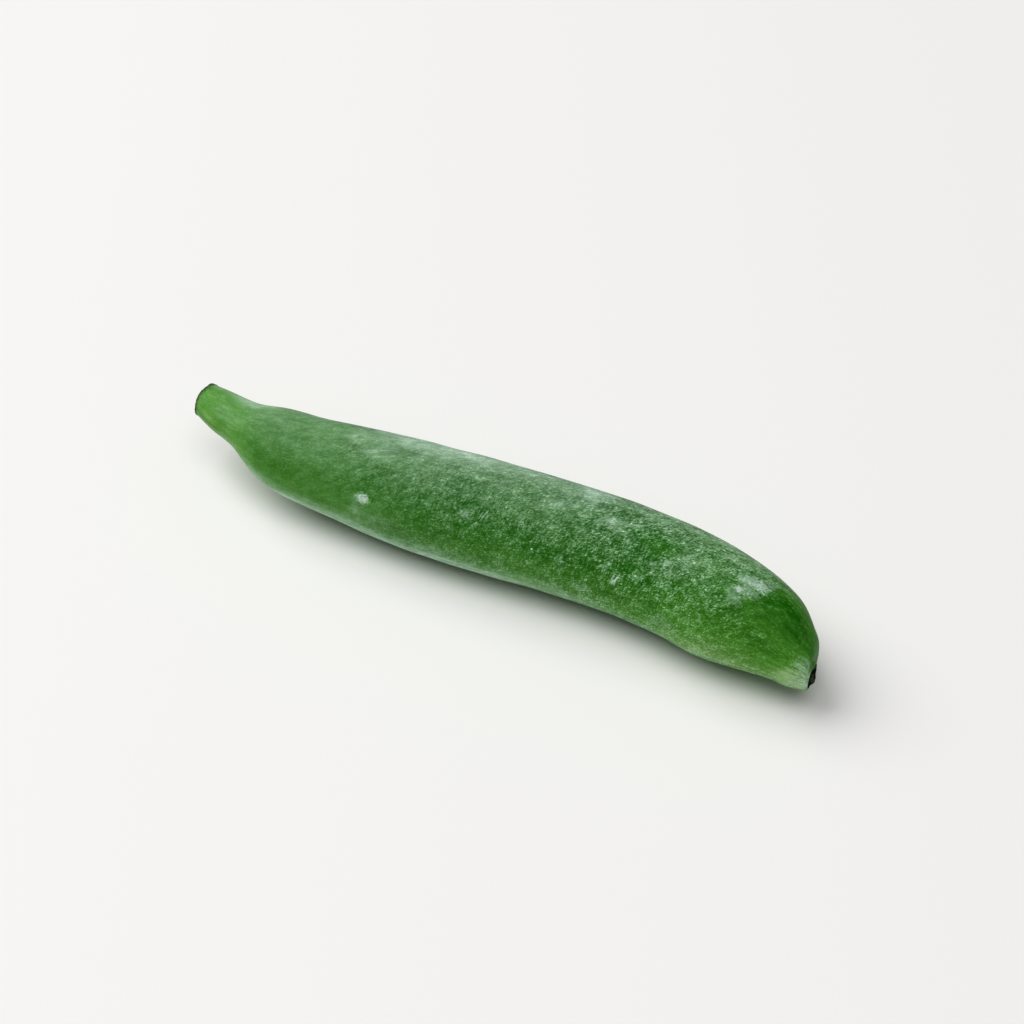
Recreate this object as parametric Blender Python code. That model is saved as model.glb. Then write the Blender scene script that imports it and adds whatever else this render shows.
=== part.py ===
"""One picked green bean pod lying on its belly, in metres, +Z up.

The pod grew as one piece, so it is one solid: a narrow stalk end with its cut face, a full round body, and a
nose that hooks to one side and ends in a short beak with a dished scar. It rests on a small flat spot under the
body, where the skin gives under the pod's weight. The origin is the middle of the pod's box, on the table.
"""

import math
from collections import namedtuple

import bmesh
import bpy
import numpy as np
from mathutils import Vector

MM = 0.001
UP = Vector((0, 0, 1))

# The pod's axis from the stalk to the beak. Each row is an upright section of the pod: where its middle is, with x
# along the pod, y to the side and z above the table, and how thick it is, all in millimetres, then which way it
# faces, in degrees from +X towards +Y.
AXIS_MM = (
    (-33.7, -4.3, 6.6, 3.2, -7),  # cut end of the stalk
    (-31.0, -4.9, 6.6, 4.3, -7),
    (-28.1, -5.1, 6.4, 5.0, -4),  # neck
    (-24.9, -5.3, 5.9, 7.3, 1),
    (-21.2, -5.0, 5.5, 8.6, 6),  # shoulder
    (-16.0, -4.1, 5.3, 9.6, 9),
    (-10.7, -3.3, 5.2, 10.5, 10),
    (-0.8, -1.5, 5.2, 11.0, 10),  # fullest
    (9.0, 0.2, 5.2, 10.8, 6),
    (19.2, 0.7, 5.3, 10.7, 0),
    (23.6, 0.3, 5.3, 10.4, -1),  # the hook begins
    (27.1, 0.3, 5.1, 9.2, 1),
    (30.3, 0.0, 4.8, 7.4, 4),  # nose
    (32.3, -0.7, 4.5, 5.6, 8),
    (33.3, -1.1, 4.2, 4.0, 12),
    (33.5, -1.7, 4.0, 2.6, 14),  # beak
)
FULLEST_MM = max(row[3] for row in AXIS_MM)
OVALITY = 0.03  # how much wider than tall a section is, as a share of its thickness

# Two seams run the length of the pod. An angle is measured round a section from the +Y side, upwards.
SEAM_ANGLES = (math.radians(15), math.radians(195))
SEAM_HEIGHT = 0.12 * MM
SEAM_HALF_WIDTH = 0.45 * MM
SEAM_FADE = 0.10  # share of the length over which a seam rises at either end

# Seeds swell the pod's sides a little, evenly spaced between the shoulder and the nose.
SEED_COUNT = 7
SEEDS_FROM = 0.20  # shares of the length
SEEDS_TO = 0.88
SEED_SWELLING = 0.07 * MM

# Each end is a rounded lip round a dished face.
STALK_LIP = 0.20 * MM
STALK_DISH = 0.35 * MM
BEAK_LIP = 0.20 * MM
BEAK_DISH = 0.50 * MM

RINGS = 86
SIDES = 36
LIP_STEPS = 3
DISH_STEPS = 3
END_CROWDING = 0.55  # 0 spaces the rings evenly, 1 crowds them most towards the ends
SMOOTH_BELOW = math.radians(40)

Section = namedtuple("Section", "centre facing side half_width half_height")


def smooth_step(start, stop, value):
    t = min(max((value - start) / (stop - start), 0.0), 1.0)
    return t * t * (3 - 2 * t)


def spline_through(knots, values):
    """The natural cubic spline through values at knots, as a function of position."""
    gaps = np.diff(knots)
    slopes = np.diff(values, axis=0) / gaps[:, None]
    matrix = np.eye(len(knots))
    bends = np.zeros_like(values)
    for i in range(1, len(gaps)):
        matrix[i, i - 1 : i + 2] = gaps[i - 1], 2 * (gaps[i - 1] + gaps[i]), gaps[i]
        bends[i] = 6 * (slopes[i] - slopes[i - 1])
    bends = np.linalg.solve(matrix, bends)

    def at(place):
        i = min(max(np.searchsorted(knots, place) - 1, 0), len(gaps) - 1)
        gap = gaps[i]
        after = place - knots[i]
        before = knots[i + 1] - place
        low = values[i] / gap - bends[i] * gap / 6
        high = values[i + 1] / gap - bends[i + 1] * gap / 6
        return (bends[i] * before**3 + bends[i + 1] * after**3) / (6 * gap) + low * before + high * after

    return at


def section_maker():
    """A function that gives the pod's cross-section at a share of the axis, from 0 at the stalk to 1 at the beak."""
    rows = np.array(AXIS_MM) * (MM, MM, MM, MM, math.radians(1))
    steps = np.linalg.norm(np.diff(rows[:, :3], axis=0), axis=1)
    knots = np.concatenate([[0.0], np.cumsum(steps)])
    axis = spline_through(knots, rows)

    def section(share):
        x, y, z, thickness, turn = axis(share * knots[-1])
        facing = Vector((math.cos(turn), math.sin(turn), 0))
        half_width = thickness / 2 * (1 + OVALITY / 2)
        half_height = thickness / 2 * (1 - OVALITY / 2)
        return Section(Vector((x, y, z)), facing, UP.cross(facing), half_width, half_height)

    return section


def seam_relief(angle, share, section):
    """How far a seam stands out of the skin."""
    height = 0.0
    for seam in SEAM_ANGLES:
        across = math.remainder(angle - seam, 2 * math.pi) * section.half_width
        height += SEAM_HEIGHT * math.exp(-((across / SEAM_HALF_WIDTH) ** 2))
    return height * smooth_step(0, SEAM_FADE, share) * smooth_step(0, SEAM_FADE, 1 - share)


def seed_relief(angle, share):
    """How far the seeds swell the two sides that lie between the seams."""
    run = (share - SEEDS_FROM) / (SEEDS_TO - SEEDS_FROM)
    if not 0 < run < 1:
        return 0.0
    wave = 0.5 - 0.5 * math.cos(2 * math.pi * SEED_COUNT * run)
    return SEED_SWELLING * wave * math.sin(angle - SEAM_ANGLES[0]) ** 2


def section_angles():
    """Evenly spaced angles round a section, with a few more to carry the seams' ridges and the belly's flat."""
    spacing = 2 * SEAM_HALF_WIDTH / (FULLEST_MM * MM)
    seams = [seam + spacing * k for seam in SEAM_ANGLES for k in (-1.6, -0.8, 0, 0.8, 1.6)]
    turn = 2 * math.pi / SIDES
    even = [turn * i for i in range(SIDES)]
    apart = [a for a in even if all(abs(math.remainder(a - c, 2 * math.pi)) > spacing / 2 for c in seams)]
    belly = [math.radians(270) + turn * k for k in (-1.5, -0.5, 0.5, 1.5)]
    return sorted(angle % (2 * math.pi) for angle in seams + apart + belly)


def ring(section, angles, relief, drawn_in=0.0, forward=0.0):
    """Points round one section, drawn in towards its centre and moved forward along its facing."""
    points = []
    for angle, height in zip(angles, relief):
        across = section.side * ((section.half_width + height - drawn_in) * math.cos(angle))
        upward = UP * ((section.half_height + height - drawn_in) * math.sin(angle))
        points.append(section.centre + section.facing * forward + across + upward)
    return points


def end_rings(section, angles, outward, lip, dish):
    """Rings that carry the skin over a rounded lip and down a dished face, and the point at its middle."""
    level = [0.0] * len(angles)
    rings = []
    for step in range(1, LIP_STEPS + 1):
        turn = math.pi / 2 * step / LIP_STEPS
        rings.append(ring(section, angles, level, lip * (1 - math.cos(turn)), outward * lip * math.sin(turn)))
    face = section.half_height - lip
    for step in range(1, DISH_STEPS):
        share = step / DISH_STEPS
        depth = dish * math.sin(math.pi / 2 * share)
        rings.append(ring(section, angles, level, lip + face * share, outward * (lip - depth)))
    return rings, section.centre + section.facing * (outward * (lip - dish))


def pod_rings(angles):
    """Every ring in order from the stalk's cut face to the beak's scar, and the middle point of each of those."""
    section_at = section_maker()
    rings = []
    for i in range(RINGS):
        even = i / (RINGS - 1)
        crowded = 0.5 - 0.5 * math.cos(math.pi * even)
        share = even + (crowded - even) * END_CROWDING
        section = section_at(share)
        relief = [seam_relief(angle, share, section) + seed_relief(angle, share) for angle in angles]
        rings.append(ring(section, angles, relief))
    stalk, stalk_middle = end_rings(section_at(0.0), angles, -1, STALK_LIP, STALK_DISH)
    beak, beak_middle = end_rings(section_at(1.0), angles, 1, BEAK_LIP, BEAK_DISH)
    return stalk[::-1] + rings + beak, stalk_middle, beak_middle


def skin(rings, first_point, last_point):
    """A closed mesh through the rings, with a fan of triangles to the point at either end."""
    mesh = bmesh.new()
    rows = [[mesh.verts.new(point) for point in points] for points in rings]
    first = mesh.verts.new(first_point)
    last = mesh.verts.new(last_point)
    for i in range(len(rings[0])):
        j = (i + 1) % len(rings[0])
        for near, far in zip(rows, rows[1:]):
            mesh.faces.new((near[i], far[i], far[j], near[j]))
        mesh.faces.new((first, rows[0][i], rows[0][j]))
        mesh.faces.new((last, rows[-1][j], rows[-1][i]))
    bmesh.ops.recalc_face_normals(mesh, faces=mesh.faces)
    return mesh


def press_belly_flat(mesh):
    """Lifts whatever hangs below the table up to it, which leaves one level spot."""
    for vert in mesh.verts:
        vert.co.z = max(vert.co.z, 0.0)


def centre_on_table(mesh):
    """Moves the pod so that the middle of its box stands over the origin."""
    corners = np.array([vert.co for vert in mesh.verts])
    middle = (corners.min(axis=0) + corners.max(axis=0)) / 2
    bmesh.ops.translate(mesh, verts=mesh.verts, vec=(-middle[0], -middle[1], 0))


def skin_material():
    material = bpy.data.materials.new("pod_skin")
    material.use_nodes = True
    shader = material.node_tree.nodes["Principled BSDF"]
    shader.inputs["Base Color"].default_value = (0.072, 0.188, 0.048, 1)
    shader.inputs["Roughness"].default_value = 0.5
    shader.inputs["Metallic"].default_value = 0.0
    return material


def main():
    for thing in list(bpy.data.objects):
        bpy.data.objects.remove(thing)
    mesh = skin(*pod_rings(section_angles()))
    press_belly_flat(mesh)
    centre_on_table(mesh)
    data = bpy.data.meshes.new("green_bean_pod")
    mesh.to_mesh(data)
    mesh.free()
    data.materials.append(skin_material())
    data.shade_smooth()
    data.set_sharp_from_angle(angle=SMOOTH_BELOW)
    pod = bpy.data.objects.new("green_bean_pod", data)
    bpy.context.scene.collection.objects.link(pod)


main()
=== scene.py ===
"""Looks for one picked green bean pod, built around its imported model, in metres, +Z up.

The pod is one mesh, drawn from the CAD source's own table of sections with finer relief. A place on it is given by
its share of the pod's length, from 0 at the stalk's cut to 1 at the beak's scar, and by its angle round the section
in degrees: 0 at the +Y side, 90 on top, 180 towards the camera and 270 underneath. Bloom, grain and the tone of the
green are painted by share and angle, and what is finer comes from noise in the material.
"""

import math
from types import SimpleNamespace

import bpy
import numpy as np
from mathutils import Matrix, Vector


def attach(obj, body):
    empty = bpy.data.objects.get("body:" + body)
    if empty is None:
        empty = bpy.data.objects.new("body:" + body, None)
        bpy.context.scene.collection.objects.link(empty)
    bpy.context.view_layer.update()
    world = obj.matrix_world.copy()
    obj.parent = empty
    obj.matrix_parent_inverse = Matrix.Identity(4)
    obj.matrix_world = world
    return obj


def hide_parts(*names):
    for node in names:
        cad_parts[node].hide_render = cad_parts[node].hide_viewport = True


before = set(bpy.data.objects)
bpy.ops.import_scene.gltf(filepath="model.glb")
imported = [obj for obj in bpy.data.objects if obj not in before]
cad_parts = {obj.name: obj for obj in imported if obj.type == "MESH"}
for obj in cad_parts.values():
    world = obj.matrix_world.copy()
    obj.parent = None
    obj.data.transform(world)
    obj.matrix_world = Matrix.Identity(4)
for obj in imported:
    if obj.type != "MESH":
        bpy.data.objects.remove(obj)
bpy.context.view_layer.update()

MM = 0.001
TURN = 2 * math.pi
NODE = "green_bean_pod"
SLOT = "pod_skin"

# Camera: where it looks from round the pod, in degrees from -Y, and the point it looks at.
VIEW_AZIMUTH = 33
VIEW_ELEVATION = 45
LENS_MM = 85
SENSOR_MM = 36
CLIP_START = 0.01
IMAGE_PX = 1024
PX_PER_MM = 10.36
AIM = Vector((0.05, 1.55, 5.3)) * MM

# The pod's axis, as in the CAD source: the middle of each upright section x, y, z and its thickness in mm, then
# which way it faces, in degrees from +X towards +Y.
AXIS_MM = (
    (-33.7, -4.3, 6.6, 3.2, -7),  # cut end of the stalk
    (-31.0, -4.9, 6.6, 4.3, -7),
    (-28.1, -5.1, 6.4, 5.0, -4),  # neck
    (-24.9, -5.3, 5.9, 7.3, 1),
    (-21.2, -5.0, 5.5, 8.6, 6),  # shoulder
    (-16.0, -4.1, 5.3, 9.6, 9),
    (-10.7, -3.3, 5.2, 10.5, 10),
    (-0.8, -1.5, 5.2, 11.0, 10),  # fullest
    (9.0, 0.2, 5.2, 10.8, 6),
    (19.2, 0.7, 5.3, 10.7, 0),
    (23.6, 0.3, 5.3, 10.4, -1),  # the hook begins
    (27.1, 0.3, 5.1, 9.2, 1),
    (30.3, 0.0, 4.8, 7.4, 4),  # nose
    (32.3, -0.7, 4.5, 5.6, 8),
    (33.3, -1.1, 4.2, 4.0, 12),
    (33.5, -1.7, 4.0, 2.6, 14),  # beak
)
CENTRE = (-0.0536, -1.5702, 0)  # the point that the CAD source puts over the origin
GIRTH = max(row[3] for row in AXIS_MM) / 2  # the radius, in mm, by which distances round the pod are measured

# As in the CAD source too, in mm and in shares of the length.
OVALITY = 0.03
SEAM_ANGLES = (math.radians(15), math.radians(195))
SEAM_HEIGHT = 0.12
SEAM_HALF_WIDTH = 0.45
SEAM_FADE = 0.10
SEED_COUNT = 7
SEEDS_FROM = 0.20
SEEDS_TO = 0.88
SEED_SWELLING = 0.07
STALK_DISH = 0.35
BEAK_LIP = 0.20
BEAK_DISH = 0.50
END_CROWDING = 0.55

# How finely the mesh is drawn.
RINGS = 520
SIDES = 160
LIP_STEPS = 6
DISH_STEPS = 22
ANGLES = np.arange(SIDES) * TURN / SIDES - TURN / 4
DISH_PARTS = [step / (DISH_STEPS + 0.5) for step in range(1, DISH_STEPS + 1)]

# What follows is finer than in the CAD source. Lengths and heights are in mm, and phases in radians.

# Gentle waves in the skin: the length along the pod and the turns round it of each, its phase and its height.
WAVES = (
    (11.0, 2, 0.4, 0.014),
    (7.3, -3, 2.1, 0.012),
    (17.0, 1, 4.0, 0.015),
    (5.1, 4, 5.2, 0.008),
)

# Fine lengthwise ribs: how many go round the pod, their phase, and the phase of their sway.
RIBS = ((19, 0.3, 0.0), (27, 1.9, 2.0), (33, 4.1, 4.0), (41, 2.7, 1.0))
RIB_SWAY = 0.05  # how far they sway round the pod, in radians
RIB_SWAY_LENGTH = 6  # how far along the pod the sway's phase grows by one
RIB_FADE = 0.03

STALK_LIP = 0.10
RIM_FLARE = 0.06  # how far the dried rim of the stalk's cut stands out
RIM_REACH = 0.25  # how far it goes along the pod
RIM_WAVES = ((7, 1), (12, 3))  # how many go round, and their phase
RIM_TIPS = ((66, 12, 0.13), (200, 14, 0.05))  # torn tips on the rim: the angle, the reach and the height of each
LIP_RAGGED = 0.03  # how uneven the lips of both ends are, as a share of each
LIP_WAVES = ((5, 0), (9, 2), (14, 4))

# The stalk's cut face. Places on it go from 0 at the lip to 1 in the middle, as on the scar below.
BUNDLES = 9  # fibre bundles
BUNDLE_HEIGHT = 0.07
BUNDLE_RING = (0.36, 0.12)  # the middle and the reach of the ring that they form
HOLLOW_DEPTH = 0.18
HOLLOW_EDGE = (0.80, 0.95)
CUT_ROUGHNESS = 0.02
CUT_WAVES = (23, 9)  # round the face and down it

# The beak's scar, with the dried foot of the flower's style.
FOOT_STANDS = 0.16  # how far the foot stands beyond the beak's lip
FOOT_UNDER = (264, 64)  # the angle and the reach of the foot's lower side
FAR_SIDE = 0.2  # the angle of its far side, in radians
FOOT_RISES = (0.14, 0.60)  # from where to where it rises on the near side
FOOT_SOONER = (0.10, 0.06)  # how much sooner on the lower side
FOOT_BULGE = 0.10
GROOVE_DEPTH = 0.14
GROOVE = (0.14, 0.07)
CRUMBS = ((0.012, 7, 6), (0.008, 13, -14))  # their height, and how many go round the scar and down it
BEAK_SLANT = 0.13  # how far the beak's far side reaches beyond its middle
SLANT_FROM = 0.965


def smooth_step(start, stop, value):
    t = np.clip((value - start) / (stop - start), 0.0, 1.0)
    return t * t * (3 - 2 * t)


def band(value, middle, reach):
    return np.exp(-(((value - middle) / reach) ** 2))


def near(middle, reach):
    """A bell round a middle, as a function of place."""
    return lambda place: band(place, middle, reach)


def rise(start, stop):
    """From 0 at start to 1 at stop, as a function of place."""
    return lambda place: smooth_step(start, stop, place)


def everywhere(place):
    return 1.0


def profile(first, *changes):
    """A function of place that is first, and then changes by each amount between two places."""
    return lambda place: first + sum(amount * smooth_step(start, stop, place) for amount, start, stop in changes)


def painted(terms, share, angle):
    """The sum of terms. Each is an amount, with how it changes along the pod and how it changes round it."""
    return sum(amount * along(share) * around(angle) for amount, along, around in terms)


def spline_through(knots, values):
    """The natural cubic spline through values at knots, as a function of positions."""
    gaps = np.diff(knots)
    slopes = np.diff(values, axis=0) / gaps[:, None]
    matrix = np.eye(len(knots))
    bends = np.zeros_like(values)
    for i in range(1, len(gaps)):
        matrix[i, i - 1 : i + 2] = gaps[i - 1], 2 * (gaps[i - 1] + gaps[i]), gaps[i]
        bends[i] = 6 * (slopes[i] - slopes[i - 1])
    bends = np.linalg.solve(matrix, bends)

    def at(places):
        i = np.clip(np.searchsorted(knots, places) - 1, 0, len(gaps) - 1)
        gap = gaps[i][:, None]
        after = (places - knots[i])[:, None]
        before = (knots[i + 1] - places)[:, None]
        low = values[i] / gap - bends[i] * gap / 6
        high = values[i + 1] / gap - bends[i + 1] * gap / 6
        return (bends[i] * before**3 + bends[i + 1] * after**3) / (6 * gap) + low * before + high * after

    return at


ROWS = np.array(AXIS_MM, float)
KNOTS = np.concatenate([[0.0], np.cumsum(np.linalg.norm(np.diff(ROWS[:, :3], axis=0), axis=1))])
SECTION_AT = spline_through(KNOTS, ROWS)
LENGTH = KNOTS[-1]

SWELLINGS = (
    (0.16, near(0.958, 0.032), near(68, 32)),  # top of the nose
    (0.22, rise(0.970, 1.0), near(222, 26)),  # under the beak
    (0.20, rise(2.4 / LENGTH, 0.0), near(214, 28)),  # under the stalk's end
)
RIB_HEIGHT = profile(0.006, (0.022, 0.90, 0.97), (-0.003, 0.12, 0.04))


def ring_shares():
    even = np.arange(RINGS) / (RINGS - 1)
    crowded = 0.5 - 0.5 * np.cos(math.pi * even)
    return even + (crowded - even) * END_CROWDING


def fade_in(share, length):
    """0 at both ends of the pod and 1 from that length on, as a share."""
    return smooth_step(0, length, share) * smooth_step(0, length, 1 - share)


def seam_relief(share, half_width):
    height = 0.0
    for seam in SEAM_ANGLES:
        across = (np.mod(ANGLES - seam + math.pi, TURN) - math.pi) * half_width
        height = height + SEAM_HEIGHT * band(across, 0, SEAM_HALF_WIDTH)
    return height * fade_in(share, SEAM_FADE)


def seed_relief(share):
    run = (share - SEEDS_FROM) / (SEEDS_TO - SEEDS_FROM)
    if not 0 < run < 1:
        return 0.0
    wave = 0.5 - 0.5 * math.cos(TURN * SEED_COUNT * run)
    return SEED_SWELLING * wave * np.sin(ANGLES - SEAM_ANGLES[0]) ** 2


def wave_relief(along):
    height = 0.0
    for length, turns, phase, amount in WAVES:
        height = height + amount * np.sin(TURN * along / length + turns * ANGLES + phase)
    return height


def rib_relief(share, along):
    height = 0.0
    for count, phase, sway in RIBS:
        height = height + np.cos(count * (ANGLES + RIB_SWAY * np.sin(along / RIB_SWAY_LENGTH + sway)) + phase)
    return height * RIB_HEIGHT(share) * fade_in(share, RIB_FADE)


def rim_relief(along):
    uneven = math.prod(np.sin(count * ANGLES + phase) for count, phase in RIM_WAVES)
    ragged = RIM_FLARE * (1 + 0.5 * uneven)
    for middle, reach, height in RIM_TIPS:
        ragged = ragged + height * band(np.degrees(ANGLES) % 360, middle, reach)
    return ragged * band(along, 0, RIM_REACH)


def relief(share, half_width):
    """How far the skin stands out round the section at that share of the length, in mm."""
    along = share * LENGTH
    fine = wave_relief(along) + rib_relief(share, along) + rim_relief(along)
    swollen = seed_relief(share) + painted(SWELLINGS, share, np.degrees(ANGLES) % 360)
    return seam_relief(share, half_width) + swollen + fine


def stalk_face(part):
    """How far the stalk's cut face stands out of its dish, part of the way from its lip to its middle: a ring of
    fibre bundles round a small hollow."""
    bundles = BUNDLE_HEIGHT * band(part, *BUNDLE_RING) * (0.5 + 0.5 * np.cos(BUNDLES * ANGLES))
    rough = CUT_ROUGHNESS * np.sin(CUT_WAVES[0] * ANGLES + CUT_WAVES[1] * part)
    return bundles - HOLLOW_DEPTH * smooth_step(*HOLLOW_EDGE, part) + rough


def beak_face(part):
    """How far the beak's scar stands out of its dish, part of the way from its lip to its middle: the dried foot of
    the flower's style, which fills the far side and the lower side, a groove on the near side, and crumbs."""
    far = 0.5 + 0.5 * np.cos(ANGLES - FAR_SIDE)
    under = band(np.degrees(ANGLES) % 360, *FOOT_UNDER)
    start, stop = (place - sooner * under for place, sooner in zip(FOOT_RISES, FOOT_SOONER))
    near_side = smooth_step(start, stop, part)
    foot = near_side * (1 - far) + np.sin(math.pi / 2 * part) * far
    crumbs = sum(height * np.sin(round_it * ANGLES + down * part) for height, round_it, down in CRUMBS)
    crumbs = crumbs * smooth_step(0.0, 0.15, part) * smooth_step(0.9, 0.5, part)
    bulge = FOOT_BULGE * under * smooth_step(0.0, 0.25, part) * smooth_step(1.0, 0.5, part)
    groove = GROOVE_DEPTH * band(part, *GROOVE) * (1 - far) * (1 - under)
    return (BEAK_DISH + FOOT_STANDS) * foot + bulge - groove + crumbs


def ring(row, height, drawn_in, forward):
    """Points in mm round one section, its skin raised by height, drawn in, and moved forward along its facing."""
    x, y, z, thickness, turn = row
    turn = math.radians(turn)
    facing = np.array([math.cos(turn), math.sin(turn), 0.0])
    side = np.array([-math.sin(turn), math.cos(turn), 0.0])
    half_width = thickness / 2 * (1 + OVALITY / 2) + height - drawn_in
    half_height = thickness / 2 * (1 - OVALITY / 2) + height - drawn_in
    points = np.array([x, y, z]) + facing * np.reshape(forward, (-1, 1))
    points = points + side * (half_width * np.cos(ANGLES))[:, None]
    points[:, 2] += half_height * np.sin(ANGLES)
    return points


def end_rings(row, share, outward, lip, dish, face_relief, slant):
    """Rings that carry the skin over a rounded lip and down the dished face of one end."""
    edge = relief(share, row[3] / 2)
    ragged = LIP_RAGGED * sum(np.sin(count * ANGLES + phase) for count, phase in LIP_WAVES)
    rings = []
    for step in range(1, LIP_STEPS + 1):
        turn = math.pi / 2 * step / LIP_STEPS
        raised = lip * math.sin(turn) * (1 + ragged)
        rings.append(ring(row, edge, lip * (1 - math.cos(turn)), outward * raised + slant))
    across = row[3] / 2 * (1 - OVALITY / 2) - lip
    for part in DISH_PARTS:
        depth = dish * math.sin(math.pi / 2 * part) - face_relief(part)
        forward = lip * (1 + ragged * (1 - part)) - depth
        rings.append(ring(row, edge * (1 - part), lip + across * part, outward * forward + slant * (1 - part)))
    return rings


def pod_rings():
    """Rings of points in mm from the middle of the stalk's cut to that of the beak's scar, and each ring's place:
    its share along the pod, and how far it is down the dish, from 0 at the lip to 1, or -1 on the pod's wall."""
    shares = ring_shares()
    rows = SECTION_AT(shares * LENGTH)
    slant = BEAK_SLANT * np.cos(ANGLES)
    wall = []
    for share, row in zip(shares, rows):
        wall.append(ring(row, relief(share, row[3] / 2), 0.0, slant * smooth_step(SLANT_FROM, 1.0, share)))
    stalk = end_rings(rows[0], shares[0], -1, STALK_LIP, STALK_DISH, stalk_face, 0 * slant)
    beak = end_rings(rows[-1], shares[-1], 1, BEAK_LIP, BEAK_DISH, beak_face, slant)
    down = np.concatenate([np.zeros(LIP_STEPS), DISH_PARTS])
    points = np.array(stalk[::-1] + wall + beak)
    shares = np.concatenate([np.zeros(len(stalk)), shares, np.ones(len(beak))])
    return points, shares, np.concatenate([down[::-1], np.full(RINGS, -1.0), down])


# The map for baking: the wall unrolled from the belly, and the two end faces as discs above it.
WALL_MARGIN = 0.01
LIP_SHIFT = 0.008  # how far beyond the wall the rounded lips lie
WALL_TOP = 0.92
DISC_RADIUS = 0.034
DISC_MIDDLES = ((0.05, 0.962), (0.15, 0.962))
SKIN_INDEX, CUT_INDEX, SCAR_INDEX = range(3)  # the order of the pod's materials


def unrolled(shares, dished, r, i):
    """Where point i of ring r lies on the baking map."""
    at_beak = 1 if r > len(shares) / 2 else 0
    if dished[r] <= 0:
        shift = LIP_SHIFT * (2 * at_beak - 1) * (dished[r] == 0)
        return shares[r] * (1 - 2 * WALL_MARGIN) + WALL_MARGIN + shift, i / SIDES * WALL_TOP
    middle = DISC_MIDDLES[at_beak]
    out = DISC_RADIUS * (1 - dished[r])
    turn = TURN * i / SIDES
    return middle[0] + out * math.cos(turn), middle[1] + out * math.sin(turn)


def pod_faces(shares, dished):
    """The faces between the rings and those that close both ends, with the material and the corners on the baking
    map of each. The two middle points follow the rings' points."""
    faces, slots, uvs = [], [], []
    count = len(shares)
    for r in range(count - 1):
        on_face = min(dished[r], dished[r + 1]) >= 0 and max(dished[r], dished[r + 1]) > 0
        slot = SKIN_INDEX if not on_face else CUT_INDEX if r < count / 2 else SCAR_INDEX
        for i in range(SIDES):
            j = (i + 1) % SIDES
            faces.append((r * SIDES + i, r * SIDES + j, (r + 1) * SIDES + j, (r + 1) * SIDES + i))
            slots.append(slot)
            for ring_at, side in ((r, i), (r, i + 1), (r + 1, i + 1), (r + 1, i)):
                uvs.append(unrolled(shares, dished, ring_at, side))
    first, last = count * SIDES, (count - 1) * SIDES
    for i in range(SIDES):
        j = (i + 1) % SIDES
        faces += [(first, j, i), (first + 1, last + i, last + j)]
        slots += [CUT_INDEX, SCAR_INDEX]
        for middle, ring_at, sides in ((DISC_MIDDLES[0], 0, (i + 1, i)), (DISC_MIDDLES[1], count - 1, (i, i + 1))):
            uvs += [middle] + [unrolled(shares, dished, ring_at, side) for side in sides]
    return faces, slots, uvs


def give(mesh, name, values):
    """Stores a number or a vector for each point of the mesh."""
    values = np.asarray(values, np.float32)
    kind, field = ("FLOAT_VECTOR", "vector") if values.ndim == 2 else ("FLOAT", "value")
    mesh.attributes.new(name, kind, "POINT").data.foreach_set(field, values.ravel())


def make_pod():
    points, shares, dished = pod_rings()
    points[..., 2] = np.maximum(points[..., 2], 0)
    flat = points.reshape(-1, 3) - CENTRE
    verts = np.vstack([flat, flat[:SIDES].mean(0), flat[-SIDES:].mean(0)]) * MM
    faces, slots, uvs = pod_faces(shares, dished)
    mesh = bpy.data.meshes.new("pod")
    mesh.from_pydata(verts.tolist(), [], faces)
    mesh.polygons.foreach_set("material_index", slots)
    mesh.shade_smooth()
    mesh.uv_layers.new(name="OFBake").uv.foreach_set("vector", np.array(uvs, np.float32).ravel())

    share = np.concatenate([np.repeat(shares, SIDES), [0, 1]])
    angle = np.concatenate([np.tile(ANGLES, len(shares)), [0, 0]])
    out = 1 - np.maximum(np.concatenate([np.repeat(dished, SIDES), [1, 1]]), 0)
    give(mesh, "straight", np.stack([share * LENGTH, GIRTH * np.cos(angle), GIRTH * np.sin(angle)], -1))
    give(mesh, "face", np.stack([out * np.cos(angle), out * np.sin(angle), 0 * out], -1))
    for name, paint in PAINTS.items():
        give(mesh, name, all_round(paint, share, np.degrees(angle) % 360))
    pod = bpy.data.objects.new("pod", mesh)
    bpy.context.scene.collection.objects.link(pod)
    return pod


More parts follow.
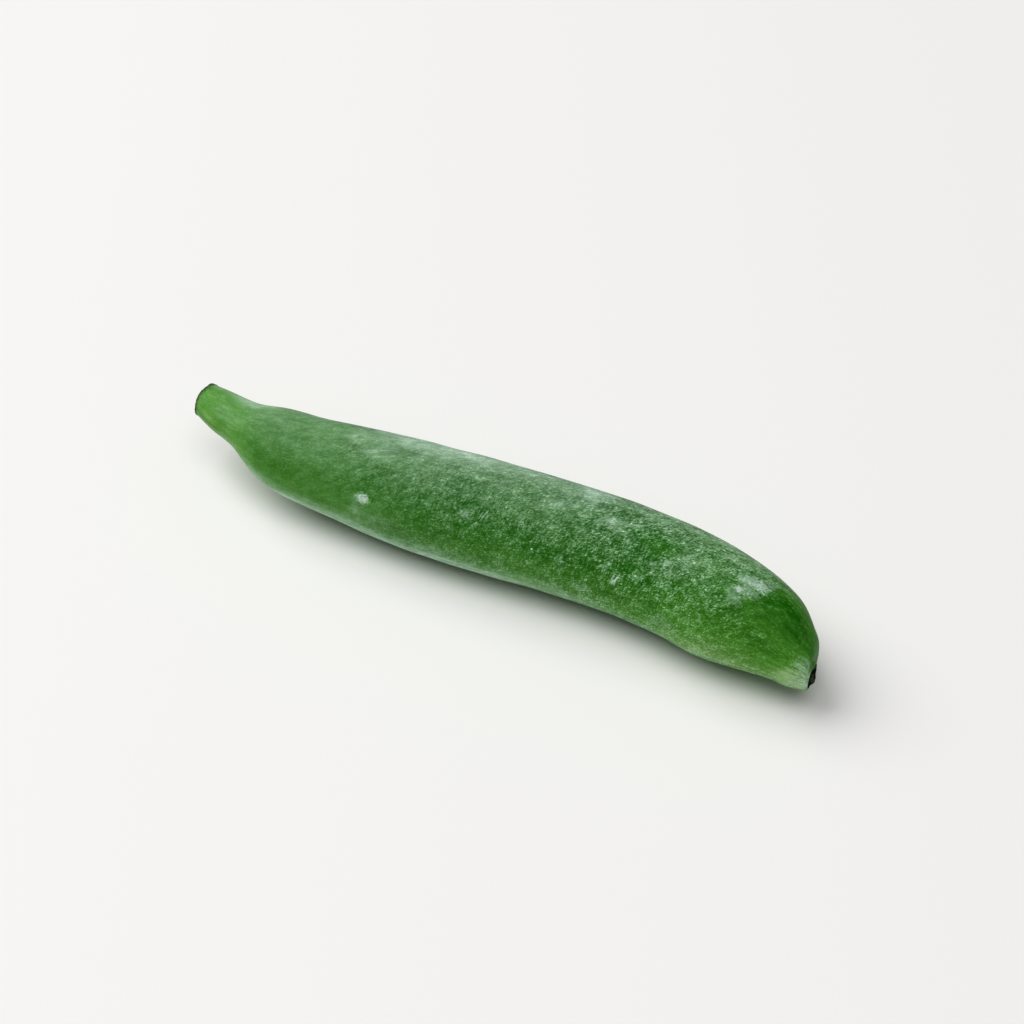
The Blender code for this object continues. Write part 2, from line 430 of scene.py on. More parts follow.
# Bloom is the whitish dust of wax on the skin. Each row is a soft patch of it: the share along the pod and the angle
# round it where its middle is, half its length and half its width in mm, how far it leans from the pod's length
# towards larger angles, in degrees, and how much bloom it adds, or takes away where the skin is rubbed bare.
BLOOM_PATCHES = (
    (0.085, 60, 2.2, 2.0, 0, 0.50),
    (0.070, 138, 1.6, 1.5, 0, 0.07),
    (0.050, 127, 0.5, 0.5, 0, 0.10),
    (0.148, 91, 0.4, 0.3, 0, 0.10),
    (0.140, 190, 1.4, 1.0, 0, 0.16),
    (0.264, 89, 0.45, 0.9, -70, 0.14),
    (0.310, 98, 2.2, 0.7, -15, 0.14),
    (0.340, 72, 2.2, 1.0, 0, 0.12),
    (0.340, 174, 2.8, 0.8, 0, 0.09),
    (0.303, 166, 0.5, 1.2, 0, 0.15),
    (0.425, 69, 2.4, 1.3, 0, 0.16),
    (0.463, 136, 0.8, 0.6, 0, 0.06),
    (0.500, 98, 1.0, 0.7, 0, 0.08),
    (0.585, 97, 1.6, 0.7, 0, 0.12),
    (0.617, 70, 1.2, 1.4, 0, 0.30),
    (0.300, 195, 3.4, 0.60, 0, 0.16),
    (0.463, 66, 4.0, 0.9, 0, 0.12),
    (0.540, 64, 2.0, 0.8, 0, 0.10),
    (0.620, 190, 2.0, 0.6, 0, 0.10),
    (0.640, 188, 1.4, 0.6, 0, -0.10),
    (0.862, 100, 0.6, 0.5, 0, -0.14),
    (0.857, 112, 0.8, 0.7, 0, -0.12),
    (0.665, 99, 1.2, 0.8, 0, 0.16),
    (0.655, 179, 1.3, 0.6, 0, 0.12),
    (0.700, 66, 1.6, 0.8, 0, 0.12),
    (0.745, 106, 2.0, 1.3, 0, -0.13),
    (0.785, 113, 2.2, 1.3, -20, 0.09),
    (0.785, 178, 1.5, 0.9, 0, 0.17),
    (0.820, 158, 1.2, 0.5, 0, 0.05),
    (0.862, 178, 0.7, 0.7, 0, 0.07),
    (0.920, 70, 1.5, 0.65, 0, 0.36),
    (0.905, 62, 1.2, 0.45, 0, -0.14),
)
PATCH_FLATNESS = 1.3  # 1 is a bell, and more is flatter in the middle

# Small marks with a ragged edge, in the same terms: the last number is how white each is.
MARKS = (
    (0.312, 153, 0.95, 0.72, 0, 1.00),  # white spot
    (0.880, 88, 2.10, 0.95, -20, 0.80),  # bright patch on the nose
    (0.890, 87, 1.05, 1.05, 0, 0.90),
    (0.869, 105, 0.60, 0.58, 0, 0.92),
    (0.879, 100, 1.40, 1.00, 10, 0.52),
    (0.866, 113, 1.50, 0.80, 40, 0.36),
    (0.571, 150.7, 0.15, 0.12, 0, 1.00),  # bright dot
    (0.616, 150, 0.45, 0.12, -64, 0.70),  # strokes
    (0.618, 154.5, 0.50, 0.11, -15, 0.60),
    (0.699, 157, 0.50, 0.42, -45, 0.80),
    (0.703, 153, 0.80, 0.13, -66, 1.00),
    (0.697, 152, 0.55, 0.12, -66, 0.85),
    (0.683, 146, 1.00, 0.12, -80, 0.30),
    (0.463, 135.5, 0.50, 0.40, 0, 0.46),
    (0.492, 131, 0.60, 0.11, -66, 0.60),
    (0.487, 132.5, 0.55, 0.11, -70, 0.55),
    (0.496, 133, 0.40, 0.10, -68, 0.45),
    (0.266, 84, 0.40, 0.40, 0, 0.42),
    (0.270, 97, 0.90, 0.24, -80, 0.24),
    (0.307, 97, 2.10, 0.14, -18, 0.40),
    (0.300, 101, 1.60, 0.13, -17, 0.30),
    (0.314, 104, 0.90, 0.20, -17, 0.28),
    (0.407, 137, 0.50, 0.12, -15, 0.34),
    (0.394, 63, 0.70, 0.26, 0, 0.30),
    (0.464, 69, 0.60, 0.28, 0, 0.30),
    (0.582, 101, 0.80, 0.40, -20, 0.22),
    (0.609, 95, 0.45, 0.34, 0, 0.40),
    (0.621, 73, 0.70, 0.50, 0, 0.28),
    (0.675, 98, 0.90, 0.45, 0, 0.26),
    (0.763, 118, 0.50, 0.45, -60, 0.46),
    (0.747, 124, 0.60, 0.24, -15, 0.46),
    (0.740, 144, 0.14, 0.14, 0, 0.50),
    (0.974, 144, 0.55, 0.34, 0, 0.36),  # at the beak
    (0.968, 160, 0.50, 0.30, 0, 0.18),
    # a painted highlight on the beak's near lip
    (0.986, 203, 0.50, 0.60, 0, 0.40),
)
MARK_HALF_DEPTH = 2.5  # in mm, enough for the skin's curve
MARK_EDGE = 0.65  # how far in from its edge a mark is whole


def low_film(share):
    """How strong the film of bloom on the lower edge is along the pod."""
    low = profile(1.2, (-0.50, 0.48, 0.58), (-0.26, 0.64, 0.70))(share)
    return low * (1 - 0.25 * smooth_step(0.14, 0.06, share)) - 0.22 * band(share, 0.925, 0.035)


# The paint. A table is read by painted: an amount, how it changes along the pod, and how it changes round it.
TOP_FILM = profile(0.42, (0.66, 0.24, 0.31), (-0.30, 0.46, 0.50), (-0.24, 0.63, 0.67), (-0.44, 0.88, 0.95))
FILM = (
    (0.042, everywhere, everywhere),
    (0.085, everywhere, near(108, 30)),
    (0.49, TOP_FILM, near(50, 37)),
    (0.58, low_film, near(208, 17)),
    (-0.05, rise(0.10, 0.04), near(170, 24)),  # neck
    (-0.03, rise(0.06, 0.03), near(110, 30)),
    (-0.08, rise(0.11, 0.05), near(88, 24)),
    (0.018, near(0.56, 0.20), near(130, 25)),  # body
    (-0.044, rise(0.84, 0.90), everywhere),  # nose
    (-0.10, near(0.89, 0.035), near(188, 8)),
    (-0.12, rise(0.89, 0.93), near(56, 8)),
    (0.56, rise(0.961, 0.989), near(177, 25)),  # beak
    (0.30, rise(0.967, 0.991), near(137, 22)),
    (-0.20, rise(0.960, 0.985), near(204, 12)),
)
CLEARED_ALONG = (rise(0.85, 0.93), rise(0.975, 0.955))  # where the film gives out on the nose
CLEARED_ROUND = near(130, 42)
FILM_TOUCHES = (  # more and less of it, also on the cleared nose
    (-0.014, near(0.18, 0.06), near(160, 30)),
    (0.012, near(0.62, 0.08), near(150, 30)),
    (-0.012, near(0.87, 0.05), near(165, 25)),
    (-0.028, near(0.936, 0.018), near(158, 20)),
    (-0.080, near(0.960, 0.008), near(166, 9)),
    (-0.020, near(0.955, 0.016), near(95, 20)),
    (0.200, near(0.973, 0.012), near(193, 10)),
    (0.100, near(0.930, 0.012), near(208, 12)),
    (0.120, near(0.984, 0.007), near(112, 12)),
)
RUBBED_FROM = profile(0.906, (-0.032, 92, 120))  # the share where the rubbed nose begins, by angle
RUBBED_SOFTNESS = profile(0.012, (0.030, 100, 130))  # of that beginning
RUBBED_TO = rise(1.010, 0.985)
RUBBED_SHORTER = profile(0.0, (0.030, 105, 140))  # how much sooner it ends
RUBBED_ROUND = (rise(56, 74), rise(150, 115))
GRAIN = (
    (0.24, everywhere, everywhere),
    (0.38, rise(0.22, 0.52), everywhere),
    (0.32, rise(0.57, 0.70), everywhere),
    (0.13, rise(0.30, 0.50), near(152, 25)),
    (0.10, near(0.29, 0.05), near(108, 30)),
)
GRAIN_KEPT = (  # the share of the grain that is kept towards the beak
    (1.0, everywhere, everywhere),
    (-0.45, rise(0.89, 0.95), everywhere),
    (0.40, rise(0.95, 0.97), near(165, 40)),
)
STREAKS = (
    (0.03, everywhere, everywhere),
    (0.10, rise(0.12, 0.22), everywhere),
    (0.40, everywhere, near(200, 20)),
    (0.9, rise(0.80, 0.95), near(172, 45)),
    (0.9, rise(0.93, 0.98), near(172, 45)),
)
MOST_STREAKS = 1.8
LIGHT = (
    (0.23, everywhere, everywhere),
    (0.15, everywhere, near(62, 14)),
    # lighter towards the camera and underneath: painted bounce light from the floor
    (0.15, everywhere, rise(125, 180)),
    (0.03, everywhere, rise(85, 112)),
    # the lower side: partly its own paler green, partly painted bounce light from the floor
    (0.26, everywhere, near(195, 30)),  # lower side
    (0.42, rise(0.68, 0.86), near(195, 30)),
    (-0.22, near(0.92, 0.03), near(195, 30)),
    (0.45, rise(0.13, 0.06), everywhere),  # neck
    (0.12, near(0.10, 0.05), everywhere),
    (-0.08, rise(0.22, 0.15), near(88, 16)),
    # darker under the neck: painted shade
    (-0.30, rise(0.11, 0.04), rise(162, 184)),
    (-0.20, rise(0.035, 0.015), near(182, 16)),
    (-0.14, near(0.16, 0.06), near(155, 30)),
    (0.25, rise(0.42, 0.16), everywhere),  # body
    (-0.40, near(0.35, 0.25), near(58, 12)),
    (0.20, rise(0.40, 0.48), near(199, 14)),
    (-0.05, near(0.47, 0.10), near(172, 14)),
    (0.03, rise(0.44, 0.52), rise(85, 112)),
    (0.06, rise(0.44, 0.52), rise(138, 165)),
    (-0.30, near(0.62, 0.03), near(66, 10)),
    (0.25, rise(0.74, 0.87), everywhere),  # nose
    (0.10, near(0.86, 0.06), rise(140, 160)),
    (0.14, near(0.885, 0.016), near(96, 10)),
    (0.20, near(0.93, 0.02), near(71, 8)),
    (0.20, near(0.925, 0.03), near(127, 11)),
    (-0.34, near(0.930, 0.055), near(96, 42)),
    (-0.11, near(0.936, 0.018), near(158, 20)),
    (-0.14, near(0.955, 0.016), near(95, 20)),
    (0.60, rise(0.945, 0.975), near(165, 32)),  # beak
    (0.40, rise(0.965, 0.985), near(140, 22)),
    (1.55, near(0.973, 0.018), near(187, 19)),
    (0.30, near(0.977, 0.011), near(177, 13)),
    (-0.50, rise(0.978, 0.992), near(197, 8)),
)
MOST_LIGHT = 2.0


def patch(share, angle, row):
    middle, turn, half_length, half_width, lean, amount = row
    along = (share - middle) * LENGTH
    across = (np.mod(angle - turn + 180, 360) - 180) * math.radians(1) * GIRTH
    lean = math.radians(lean)
    u = (along * math.cos(lean) + across * math.sin(lean)) / half_length
    v = (across * math.cos(lean) - along * math.sin(lean)) / half_width
    return amount * np.exp(-((u * u + v * v) ** PATCH_FLATNESS))


def haze_at(share, angle):
    """How much bloom lies on the skin, from 0 to 1, before its grain breaks it up."""
    cleared = CLEARED_ALONG[0](share) * CLEARED_ALONG[1](share) * CLEARED_ROUND(angle)
    haze = painted(FILM, share, angle) * (1 - cleared) + painted(FILM_TOUCHES, share, angle)
    for row in BLOOM_PATCHES:
        haze = haze + patch(share, angle, row)
    return np.maximum(haze, 0)


def rubbed_at(share, angle):
    """Where the bloom is rubbed off the nose: 1 inside, 0 outside, with its edge at a half."""
    edge, soft = RUBBED_FROM(angle), RUBBED_SOFTNESS(angle)
    start = smooth_step(edge - soft, edge + soft, share)
    end = RUBBED_TO(share + RUBBED_SHORTER(angle))
    return start * end * RUBBED_ROUND[0](angle) * RUBBED_ROUND[1](angle)


def grain_at(share, angle):
    """How strongly the bloom is broken up into grain."""
    return painted(GRAIN, share, angle) * painted(GRAIN_KEPT, share, angle)


def ribs_at(share, angle):
    """How strongly the bloom follows the skin's fine lengthwise ribs."""
    return np.clip(painted(STREAKS, share, angle), 0, MOST_STREAKS)


def lightness_at(share, angle):
    """How far the skin under the bloom turns to a lighter, yellower green. Towards the camera and underneath it is
    partly painted bounce light from the floor, and under the neck it holds painted shade.
    """
    return np.clip(painted(LIGHT, share, angle), 0, MOST_LIGHT)


PAINTS = {"haze": haze_at, "rubbed": rubbed_at, "grain": grain_at, "ribs": ribs_at, "light": lightness_at}
UNSEEN = (255, 345)  # angles on the underside and the far side


def all_round(paint, share, angle):
    """What paint gives at each place, blended where it isn't seen so that the two ends of the turn meet."""
    turn = smooth_step(*UNSEEN, angle)
    return paint(share, angle) * (1 - turn) + paint(share, angle - 360) * turn


def display(red, green, blue):
    """A colour given as it shows on a screen, 0 to 255, as the shader takes it."""
    out = []
    for value in (red, green, blue):
        value /= 255
        out.append(value / 12.92 if value <= 0.04045 else ((value + 0.055) / 1.055) ** 2.4)
    return (*out, 1)


class Shader:
    """Short calls for building one material's nodes."""

    def __init__(self, name):
        self.material = bpy.data.materials.new(name)
        self.material.use_nodes = True
        self.tree = self.material.node_tree
        self.principled = self.tree.nodes["Principled BSDF"]

    def put(self, socket, value):
        if isinstance(value, bpy.types.NodeSocket):
            self.tree.links.new(value, socket)
        else:
            socket.default_value = value

    def node(self, kind, inputs=(), output=0, **settings):
        node = self.tree.nodes.new(kind)
        for key, value in settings.items():
            setattr(node, key, value)
        for key, value in dict(inputs).items():
            self.put(node.inputs[key], value)
        return node.outputs[output]

    def attribute(self, name, output="Fac"):
        return self.node("ShaderNodeAttribute", output=output, attribute_name=name)

    def math(self, operation, *values, clamp=False):
        return self.node("ShaderNodeMath", enumerate(values), operation=operation, use_clamp=clamp)

    def times(self, first, second):
        return self.math("MULTIPLY", first, second)

    def total(self, *values):
        out = values[0]
        for value in values[1:]:
            out = self.math("ADD", out, value)
        return out

    def centred(self, value, gain):
        """A value that lies between 0 and 1, moved to lie about 0 and made that much stronger."""
        return self.node("ShaderNodeMath", {0: value, 1: gain, 2: -gain / 2}, operation="MULTIPLY_ADD")

    def noise(self, vector, detail=2.0, roughness=0.5, scale=1.0):
        inputs = {"Vector": vector, "Scale": scale, "Detail": detail, "Roughness": roughness}
        return self.node("ShaderNodeTexNoise", inputs)

    def stretched(self, vector, x, y, z, shift=0.0):
        """The vector measured in lengths of x, y and z mm."""
        inputs = {"Vector": vector, "Scale": (1 / x, 1 / y, 1 / z), "Location": (shift, shift, shift)}
        return self.node("ShaderNodeMapping", inputs)

    def between(self, value, low, high, to_low=0.0, to_high=1.0):
        inputs = {"Value": value, "From Min": low, "From Max": high, "To Min": to_low, "To Max": to_high}
        return self.node("ShaderNodeMapRange", inputs, interpolation_type="SMOOTHSTEP")

    def blend(self, factor, first, second):
        return self.node("ShaderNodeMix", {0: factor, 6: first, 7: second}, output=2, data_type="RGBA")

    def length(self, vector):
        return self.node("ShaderNodeVectorMath", {0: vector}, output=1, operation="LENGTH")

    def towards(self, vector, direction):
        return self.node("ShaderNodeVectorMath", {0: vector, 1: direction}, output=1, operation="DOT_PRODUCT")

    def first_of(self, vector):
        return self.node("ShaderNodeSeparateXYZ", {0: vector})

    def surface(self, colour, roughness, height, strength, distance, specular):
        """Links the finished colour, roughness and bump, the bump's distance in mm."""
        self.put(self.principled.inputs["Base Color"], colour)
        self.put(self.principled.inputs["Roughness"], roughness)
        bump = self.node("ShaderNodeBump", {"Height": height, "Strength": strength, "Distance": distance * MM})
        self.put(self.principled.inputs["Normal"], bump)
        self.principled.inputs["Specular IOR Level"].default_value = specular


DEEP_GREEN = display(20, 87, 0)
LIGHT_GREEN = display(79, 145, 42)
PALE_GREEN = display(156, 198, 126)
BLOOM = display(190, 222, 197)
# dust on the skin, and the colour of the painted highlight on the beak's near lip
DUST_AND_HIGHLIGHT = display(176, 216, 184)
WHITE_BLOOM = display(204, 228, 212)
DRY_RIM = display(44, 62, 28)
FLESH = display(150, 176, 104)
GREEN_FLESH = display(128, 160, 84)
FIBRE = display(196, 200, 150)
DRY_FLESH = display(96, 88, 48)
SCAR_BLACK = display(3, 3, 2)
SCAR_BROWN = display(15, 14, 9)
SCAR_GREY = display(58, 76, 50)
SCAR_EDGE = display(58, 104, 40)
FOOT_MIDDLE = (-0.36, 0.05, 0)  # where the foot of the style lies on the beak's scar
FOOT_HALF_SIZE = (0.36, 0.60, 1)
SCAR_TOP = (0.34, 0.94, 0)  # towards the part of the scar's edge where the skin reaches in

# Noise keeps near its middle, so these are the values between which it is stretched.
STROKE_RANGE = (0.34, 0.68)
MOTTLE_RANGE = (0.32, 0.68)
SPECK_RANGE = (0.12, 0.75)
ROUGH_RANGE = (0.35, 0.65)


def leant(shader, straight, lean, long, wide, shift=0.0):
    """The place on the skin, measured in lengths of long mm along lines that lean by lean degrees from the pod's
    length, and of wide mm across them."""
    lean = math.radians(lean)
    angle = shader.times(shader.first_of(straight), -math.tan(lean) / GIRTH)
    turned = shader.node("ShaderNodeVectorRotate", {"Vector": straight, "Angle": angle}, rotation_type="X_AXIS")
    across = wide / math.cos(lean)
    return shader.stretched(turned, long * math.cos(lean), across, across, shift)


def strokes(shader, straight, lean, long, wide, shift, detail, roughness):
    """Noise drawn out into strokes of about that length and width in mm."""
    return shader.noise(leant(shader, straight, lean, long, wide, shift), detail, roughness)


def dashes(shader, straight, lean, long, wide, reach, shift):
    """Short separate dashes of about that length and width in mm."""
    return specks(shader, leant(shader, straight, lean, long, wide), 1.0, reach, shift)


def specks(shader, vector, size, reach, shift=0.0):
    """Round specks about one size apart, each as bright as chance has it, from 0 to 1."""
    cells = shader.tree.nodes.new("ShaderNodeTexVoronoi")
    cells.inputs["Scale"].default_value = 1.0
    shader.put(cells.inputs["Vector"], shader.stretched(vector, size, size, size, shift))
    chance = shader.node("ShaderNodeSeparateColor", {0: cells.outputs["Color"]})
    return shader.times(shader.between(cells.outputs["Distance"], 0.0, reach, 1.0, 0.0), chance)


def mark(shader, straight, row):
    """One small mark: 1 in its middle, falling to 0 at its edge and below it outside."""
    share, turn, half_length, half_width, lean, _ = row
    turn, lean = math.radians(turn), math.radians(lean)
    outward = Vector((0, math.cos(turn), math.sin(turn)))
    round_it = Vector((0, -math.sin(turn), math.cos(turn)))
    along = Vector((math.cos(lean), 0, 0)) + round_it * math.sin(lean)
    across = along.cross(outward)
    axes = Matrix((along, outward, across)).transposed()
    place = Vector((share * LENGTH, 0, 0)) + outward * GIRTH
    size = (half_length, MARK_HALF_DEPTH, half_width)
    inputs = {"Vector": straight, "Location": place, "Rotation": axes.to_euler(), "Scale": size}
    from_middle = shader.node("ShaderNodeMapping", inputs, vector_type="TEXTURE")
    return shader.math("SUBTRACT", 1.0, shader.length(from_middle))


def marks(shader, straight, rough):
    """All the small marks together, their edges made ragged by the noise given."""
    whitest = None
    for row in MARKS:
        inside = shader.math("ADD", mark(shader, straight, row), rough)
        one = shader.between(inside, 0.0, MARK_EDGE, 0.0, row[-1])
        whitest = one if whitest is None else shader.math("MAXIMUM", whitest, one)
    return whitest


def skin_noise(shader, straight):
    """The patterns in the skin, with their sizes in mm: clouds, mottle, streaks along the ribs, strokes, crumbs, and
    the grain, which is short strokes and specks together, about 0 and 1 strong."""
    between = shader.between
    clouds = shader.noise(shader.stretched(straight, 4.0, 2.0, 2.0), detail=3.0, roughness=0.55)
    mottle = strokes(shader, straight, -20, 1.1, 0.70, 5.0, detail=2.0, roughness=0.6)
    streaks = shader.noise(shader.stretched(straight, 6.0, 0.22, 0.22, 2.0), detail=2.0, roughness=0.6)
    askew = strokes(shader, straight, -58, 0.28, 0.15, 0.0, detail=1.0, roughness=0.8)
    level = strokes(shader, straight, -14, 0.34, 0.15, 7.0, detail=1.0, roughness=0.8)
    level_dashes = dashes(shader, straight, -16, 0.50, 0.16, 0.62, 1.0)
    askew_dashes = dashes(shader, straight, -62, 0.48, 0.15, 0.62, 2.0)
    dots = specks(shader, straight, 0.22, 0.58)
    sparks = specks(shader, straight, 0.80, 0.17, 3.0)
    crumbs = shader.noise(straight, detail=3.0, roughness=0.7, scale=4.0)
    grain = shader.total(
        between(askew, *STROKE_RANGE, -0.60, 0.60),
        between(level, *STROKE_RANGE, -0.75, 0.75),
        between(level_dashes, *SPECK_RANGE, -0.22, 2.1),
        between(askew_dashes, *SPECK_RANGE, -0.22, 2.1),
        between(dots, *SPECK_RANGE, -0.16, 1.5),
        between(mottle, *MOTTLE_RANGE, -0.60, 0.60),
        shader.times(sparks, 2.2),
    )
    return SimpleNamespace(clouds=clouds, mottle=mottle, streaks=streaks, askew=askew, crumbs=crumbs, grain=grain)


def skin_green(shader, straight, noise, light, ribs, grain_tone_and_shade):
    """The green under the bloom, deep to light and then pale, with blotches on the stalk."""
    times, centred = shader.times, shader.centred
    blotches = shader.noise(shader.stretched(straight, 1.7, 1.3, 1.3, 4.0), detail=2.0, roughness=0.5)
    blotches = times(centred(blotches, 1.1), shader.between(shader.first_of(straight), 4.0, 9.0, 1.0, 0.0))
    streaks = times(centred(noise.streaks, 0.9), ribs)
    light = shader.total(light, centred(noise.clouds, 0.5), streaks, centred(noise.mottle, 0.35), blotches)
    light = shader.total(light, times(grain_tone_and_shade, 0.10))
    green = shader.blend(light, DEEP_GREEN, LIGHT_GREEN)
    return shader.blend(shader.between(light, 0.9, 2.2), green, PALE_GREEN)


def bloom_cover(shader, noise, haze, rubbed, grain, ribs):
    """How much of the skin the bloom hides: a film that the nose has lost, and flecks where the grain is."""
    times, total, centred = shader.times, shader.total, shader.centred
    streaks = times(centred(noise.streaks, 2.6), ribs)
    veil = total(1.0, centred(noise.clouds, 1.3), centred(noise.mottle, 1.0), streaks)
    edge = total(rubbed, centred(noise.mottle, 0.6), centred(noise.askew, 0.5))
    left = shader.between(edge, 0.30, 0.70, 1.0, 0.0)
    film = times(times(haze, veil), left)
    clumps = shader.between(noise.mottle, *MOTTLE_RANGE, 0.60, 1.40)
    amount = shader.between(haze, 0.0, 0.14, 0.070, 0.130)
    amount = times(times(amount, shader.between(haze, 0.2, 0.5, 1.0, 0.75)), times(grain, clumps))
    flecks = times(times(noise.grain, amount), total(times(left, 0.62), 0.38))
    return shader.math("ADD", film, flecks, clamp=True)


def skin_material():
    shader = Shader(SLOT)
    times, total, centred, between = shader.times, shader.total, shader.centred, shader.between
    straight = shader.attribute("straight", "Vector")
    haze, rubbed, grain, ribs, light = (shader.attribute(name) for name in PAINTS)
    noise = skin_noise(shader, straight)
    # the grain, which tones the green and also paints the shade of the skin's fine relief
    grain_tone_and_shade = times(noise.grain, grain)

    green = skin_green(shader, straight, noise, light, ribs, grain_tone_and_shade)
    cover = bloom_cover(shader, noise, haze, rubbed, grain, ribs)
    colour = shader.blend(cover, green, BLOOM)
    # lighter and darker with the grain: painted shade of the skin's fine relief
    tone = shader.node("ShaderNodeMath", {0: grain_tone_and_shade, 1: 0.12, 2: 1.0}, operation="MULTIPLY_ADD")
    colour = shader.node("ShaderNodeVectorMath", {0: colour, "Scale": tone}, operation="SCALE")

    white = marks(shader, straight, centred(noise.crumbs, 1.6))
    # pale for dust and for the painted highlight on the beak's lip, white for the whitest bloom
    dust_and_highlight = shader.blend(between(white, 0.70, 0.98), DUST_AND_HIGHLIGHT, WHITE_BLOOM)
    white = times(white, between(noise.grain, -1.6, 1.0, 0.55, 1.05))
    colour = shader.blend(white, colour, dust_and_highlight)

    rim = between(total(shader.first_of(straight), centred(noise.crumbs, 1.9)), 0.04, 0.40, 0.95, 0.0)
    colour = shader.blend(rim, colour, DRY_RIM)
    roughness = between(shader.math("MAXIMUM", cover, white), 0.0, 0.6, 0.46, 0.72)
    height = total(times(noise.grain, 0.15), times(noise.streaks, total(ribs, 0.35)))
    shader.surface(colour, roughness, height, strength=0.5, distance=0.05, specular=0.05)
    return shader.material


def cut_material():
    """The stalk's cut face: pale flesh, a ring of fibre bundles, and a dry brown edge."""
    shader = Shader("cut_flesh")
    between = shader.between
    face = shader.attribute("face", "Vector")
    out = shader.length(face)
    spots = shader.node("ShaderNodeTexVoronoi", {"Vector": face, "Scale": 9.0, "Randomness": 0.7})
    rough = shader.noise(face, detail=4.0, roughness=0.65, scale=7.0)
    bundles = shader.times(between(out, 0.40, 0.60), between(out, 0.62, 0.84, 1.0, 0.0))
    bundles = shader.times(bundles, between(spots, 0.15, 0.5, 1.0, 0.0))
    colour = shader.blend(between(rough, *ROUGH_RANGE), FLESH, GREEN_FLESH)
    colour = shader.blend(bundles, colour, FIBRE)
    dry = shader.total(out, shader.centred(rough, 0.4))
    colour = shader.blend(between(dry, 0.78, 0.98), colour, DRY_FLESH)
    colour = shader.blend(between(out, 0.06, 0.20, 0.8, 0.0), colour, DRY_FLESH)
    roughness = between(rough, 0.3, 0.7, 0.5, 0.8)
    shader.surface(colour, roughness, rough, strength=0.6, distance=0.08, specular=0.2)
    return shader.material


def scar_material():
    """The beak's scar: black and crumbly, with the grey-green foot of the style, pale skin that reaches in on the
    near side, and green skin that reaches in at the top."""
    shader = Shader("beak_scar")
    between, total, centred = shader.between, shader.total, shader.centred
    face = shader.attribute("face", "Vector")
    rough = shader.noise(face, detail=4.0, roughness=0.7, scale=5.0)
    inputs = {"Vector": face, "Location": FOOT_MIDDLE, "Scale": FOOT_HALF_SIZE}
    foot = shader.length(shader.node("ShaderNodeMapping", inputs, vector_type="TEXTURE"))
    foot = between(total(foot, centred(rough, 1.4)), 0.50, 0.95, 0.75, 0.0)
    colour = shader.blend(between(rough, *ROUGH_RANGE), SCAR_BLACK, SCAR_BROWN)
    colour = shader.blend(foot, colour, SCAR_GREY)
    near_side = between(total(shader.first_of(face), centred(rough, 0.4)), -0.86, -0.72, 1.0, 0.0)
    colour = shader.blend(near_side, colour, PALE_GREEN)
    top = between(total(shader.towards(face, SCAR_TOP), centred(rough, 0.3)), 0.60, 0.76)
    colour = shader.blend(top, colour, SCAR_EDGE)
    roughness = between(rough, 0.3, 0.7, 0.7, 0.95)
    shader.surface(colour, roughness, rough, strength=0.8, distance=0.12, specular=0.02)
    return shader.material


def look_at(thing, place, target):
    thing.location = place
    thing.rotation_euler = (target - place).to_track_quat("-Z", "Y").to_euler()


def direction(azimuth, elevation):
    """Towards that many degrees from +X and above the level."""
    azimuth, elevation = math.radians(azimuth), math.radians(elevation)
    level = math.cos(elevation)
    return Vector((math.cos(azimuth) * level, math.sin(azimuth) * level, math.sin(elevation)))


def add_camera():
    data = bpy.data.cameras.new("camera")
    data.lens = LENS_MM
    data.sensor_width = SENSOR_MM
    data.clip_start = CLIP_START
    thing = bpy.data.objects.new("camera", data)
    bpy.context.scene.collection.objects.link(thing)
    distance = IMAGE_PX / PX_PER_MM / SENSOR_MM * LENS_MM * MM
    look_at(thing, AIM + direction(VIEW_AZIMUTH - 90, VIEW_ELEVATION) * distance, AIM)
    bpy.context.scene.camera = thing


# Soft lights: the direction each comes from, in degrees, its width, and its share of the light on the floor.
SOFT_LIGHTS = (
    ("key", 184, 49, 54, 0.51),
    ("fill", 312, 72, 44, 0.23),
)
ROOM_LOW = 0.06  # the room's light from the level and from straight above
ROOM_HIGH = 0.36
BACKDROP = display(236, 235, 232)
BACKDROP_RADIUS = 2.9
WARM = (1.0, 0.991, 0.974)
FLOOR_LEFT = 0.93
FLOOR_RIGHT = 0.865
FLOOR_FADE = 0.055
FLOOR_HALF_SIZE = 3.0


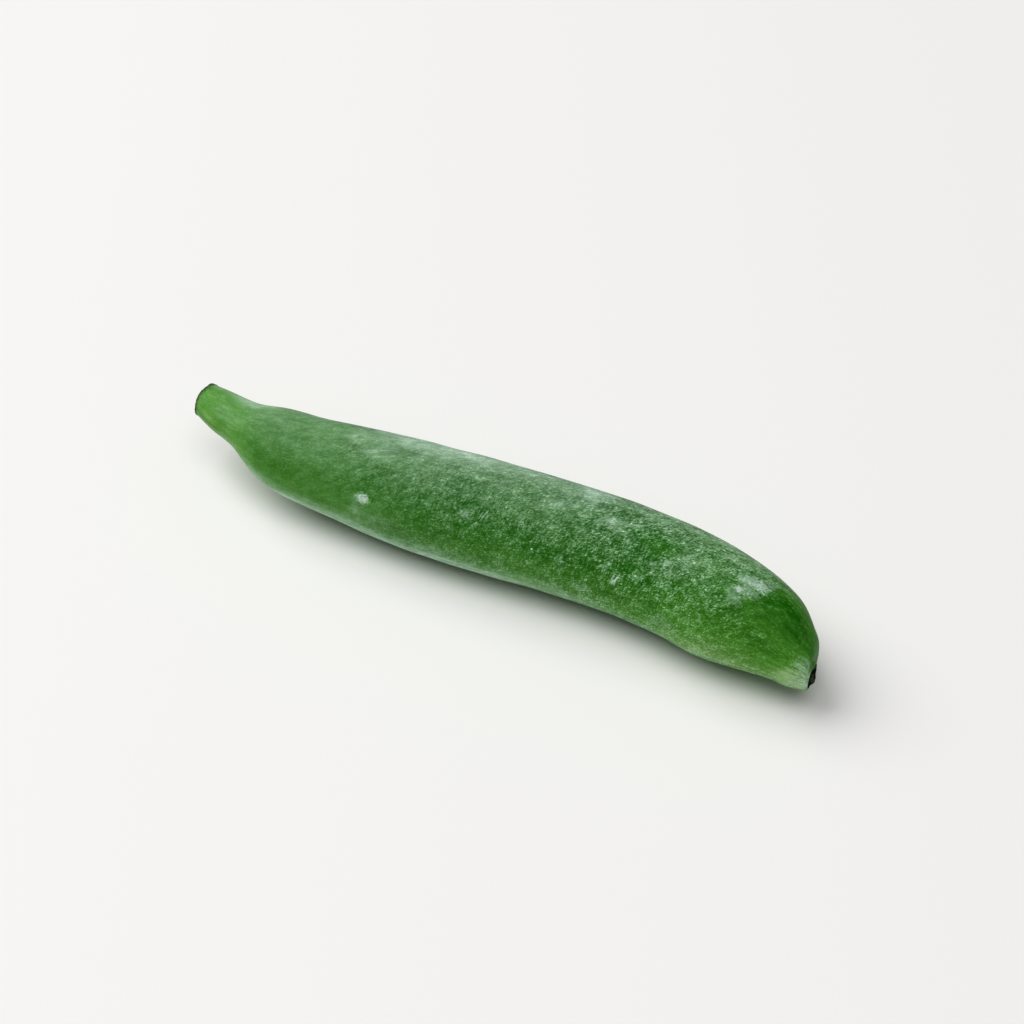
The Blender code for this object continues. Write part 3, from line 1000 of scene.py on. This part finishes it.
def add_lights():
    """The two soft lights, and a room that is brighter above."""
    for name, azimuth, elevation, width, share in SOFT_LIGHTS:
        data = bpy.data.lights.new(name, "SUN")
        data.energy = share * math.pi / math.sin(math.radians(elevation))
        data.color = WARM
        data.angle = math.radians(width)
        thing = bpy.data.objects.new(name, data)
        bpy.context.scene.collection.objects.link(thing)
        look_at(thing, direction(azimuth, elevation), Vector())
    world = bpy.data.worlds.new("studio")
    world.use_nodes = True
    nodes, links = world.node_tree.nodes, world.node_tree.links
    toward = nodes.new("ShaderNodeTexCoord")
    height = nodes.new("ShaderNodeSeparateXYZ")
    strength = nodes.new("ShaderNodeMapRange")
    strength.inputs["To Min"].default_value = ROOM_LOW
    strength.inputs["To Max"].default_value = ROOM_HIGH
    links.new(toward.outputs["Generated"], height.inputs[0])
    links.new(height.outputs["Z"], strength.inputs["Value"])
    links.new(strength.outputs[0], nodes["Background"].inputs["Strength"])
    nodes["Background"].inputs["Color"].default_value = (*WARM, 1)
    world.cycles.sampling_method = "NONE"
    bpy.context.scene.world = world


def floor_material():
    """Pale and matt, a little darker to the picture's right, where less of the light falls."""
    shader = Shader("floor")
    place = shader.node("ShaderNodeTexCoord", output="Object")
    sideways = shader.towards(place, direction(VIEW_AZIMUTH, 0))
    tone = shader.node("ShaderNodeMapRange", {
        "Value": sideways,
        "From Min": -FLOOR_FADE,
        "From Max": FLOOR_FADE,
        "To Min": FLOOR_LEFT,
        "To Max": FLOOR_RIGHT,
    })
    colour = shader.node("ShaderNodeCombineColor", {0: tone, 1: tone, 2: tone})
    shader.put(shader.principled.inputs["Base Color"], colour)
    shader.principled.inputs["Roughness"].default_value = 0.9
    shader.principled.inputs["Specular IOR Level"].default_value = 0.1
    return shader.material


def add_floor():
    mesh = bpy.data.meshes.new("floor")
    half = FLOOR_HALF_SIZE
    mesh.from_pydata([(-half, -half, 0), (half, -half, 0), (half, half, 0), (-half, half, 0)], [], [(0, 1, 2, 3)])
    thing = bpy.data.objects.new("floor", mesh)
    bpy.context.scene.collection.objects.link(thing)
    mesh.materials.append(floor_material())


def add_backdrop():
    """A pale wall all round, which shows behind the floor in low views and lights nothing."""
    bpy.ops.mesh.primitive_uv_sphere_add(segments=64, ring_count=32, radius=BACKDROP_RADIUS)
    thing = bpy.context.object
    thing.name = "backdrop"
    thing.visible_diffuse = thing.visible_glossy = thing.visible_shadow = thing.visible_transmission = False
    material = bpy.data.materials.new("backdrop")
    material.use_nodes = True
    nodes, links = material.node_tree.nodes, material.node_tree.links
    glow = nodes.new("ShaderNodeEmission")
    glow.inputs["Color"].default_value = BACKDROP
    links.new(glow.outputs[0], nodes["Material Output"].inputs["Surface"])
    material.cycles.emission_sampling = "NONE"
    thing.data.materials.append(material)


bpy.context.scene.view_settings.view_transform = "Standard"
add_camera()
add_lights()
add_floor()
add_backdrop()
pod = make_pod()
for material in (skin_material(), cut_material(), scar_material()):
    pod.data.materials.append(material)
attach(pod, "root")
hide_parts(NODE)
